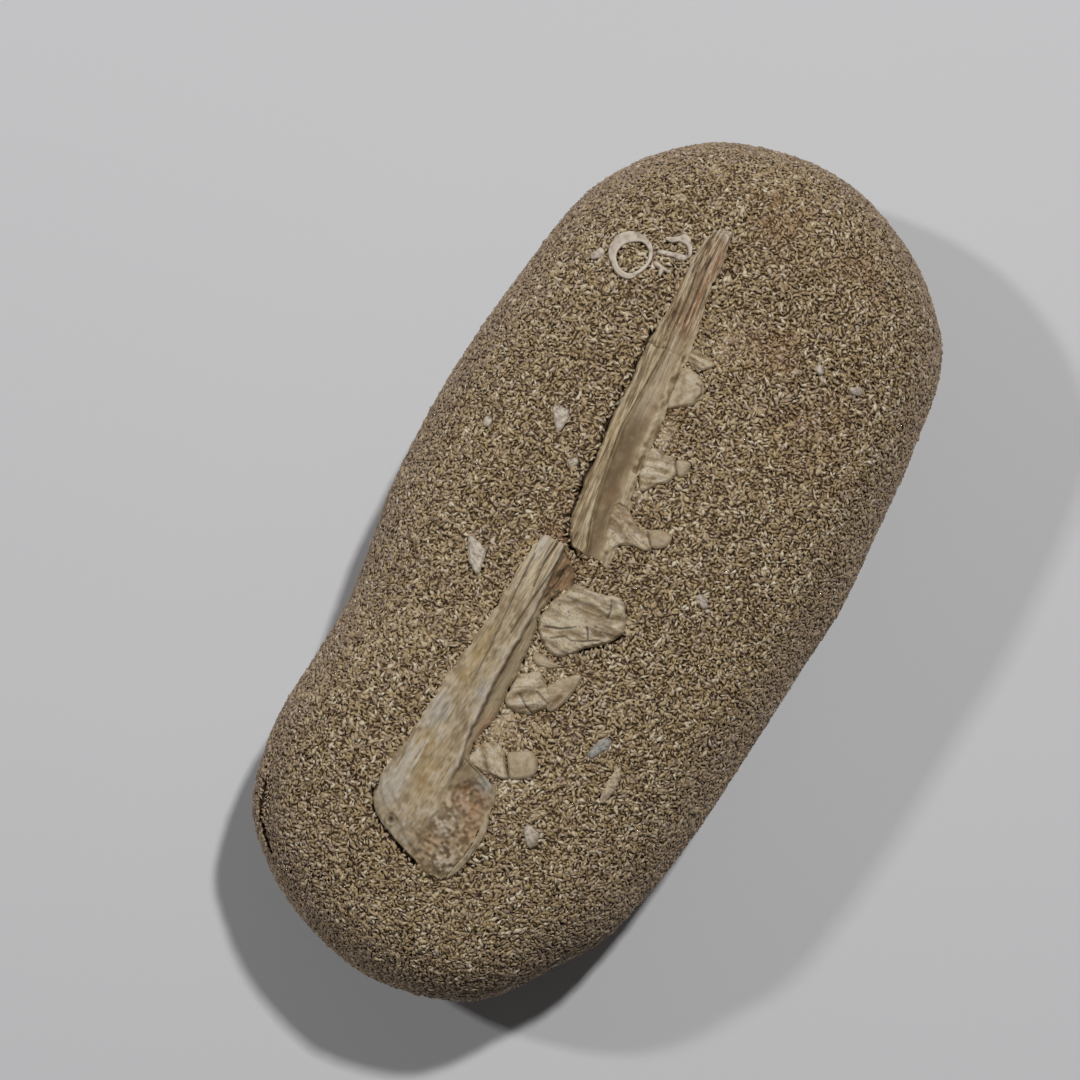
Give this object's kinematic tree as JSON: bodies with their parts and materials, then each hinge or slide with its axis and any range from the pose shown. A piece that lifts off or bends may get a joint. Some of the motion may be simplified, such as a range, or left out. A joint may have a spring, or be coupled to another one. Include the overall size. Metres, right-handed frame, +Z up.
{
  "type": "fossil jaw in a sandstone cobble",
  "caption": "Fossil jaw with teeth, broken across and slightly offset, set with a cut shell tube and shell chips in the domed face of a water-worn sandstone cobble.",
  "frame": {"origin": "middle of the cobble's box, on the plane that it rests on", "axes": "+Y along the cobble to the front end of the jaw, +X to the side of the teeth, +Z up out of the fossil face"},
  "size_m": [0.0744, 0.1506, 0.043],
  "materials": {
    "sandstone": "matte",
    "bone": "matte",
    "tooth": "satin",
    "shell": "matte",
    "pink_bone": "matte",
    "blue_bone": "matte"
  },
  "bodies": {
    "root": {"sandstone_cobble": "sandstone", "jaw_front": "bone", "jaw_rear": "bone", "tooth_1": "tooth", "tooth_2": "tooth", "tooth_3": "tooth", "tooth_4": "tooth", "tooth_5": "tooth", "tooth_6": "tooth", "tooth_6_scrap": "tooth", "tooth_7": "tooth", "tooth_8_wall": "tooth", "shell_ring": "shell", "shell_scoop": "shell", "shell_splinter": "shell", "shell_chip_1": "shell", "shell_chip_2": "shell", "shell_chip_3": "shell", "bone_splinter": "pink_bone", "bone_scrap": "blue_bone", "shell_fleck_1": "shell", "shell_fleck_2": "shell", "shell_fleck_3": "shell", "shell_fleck_4": "shell", "shell_fleck_5": "shell", "shell_fleck_6": "shell"}
  },
  "joints": []
}
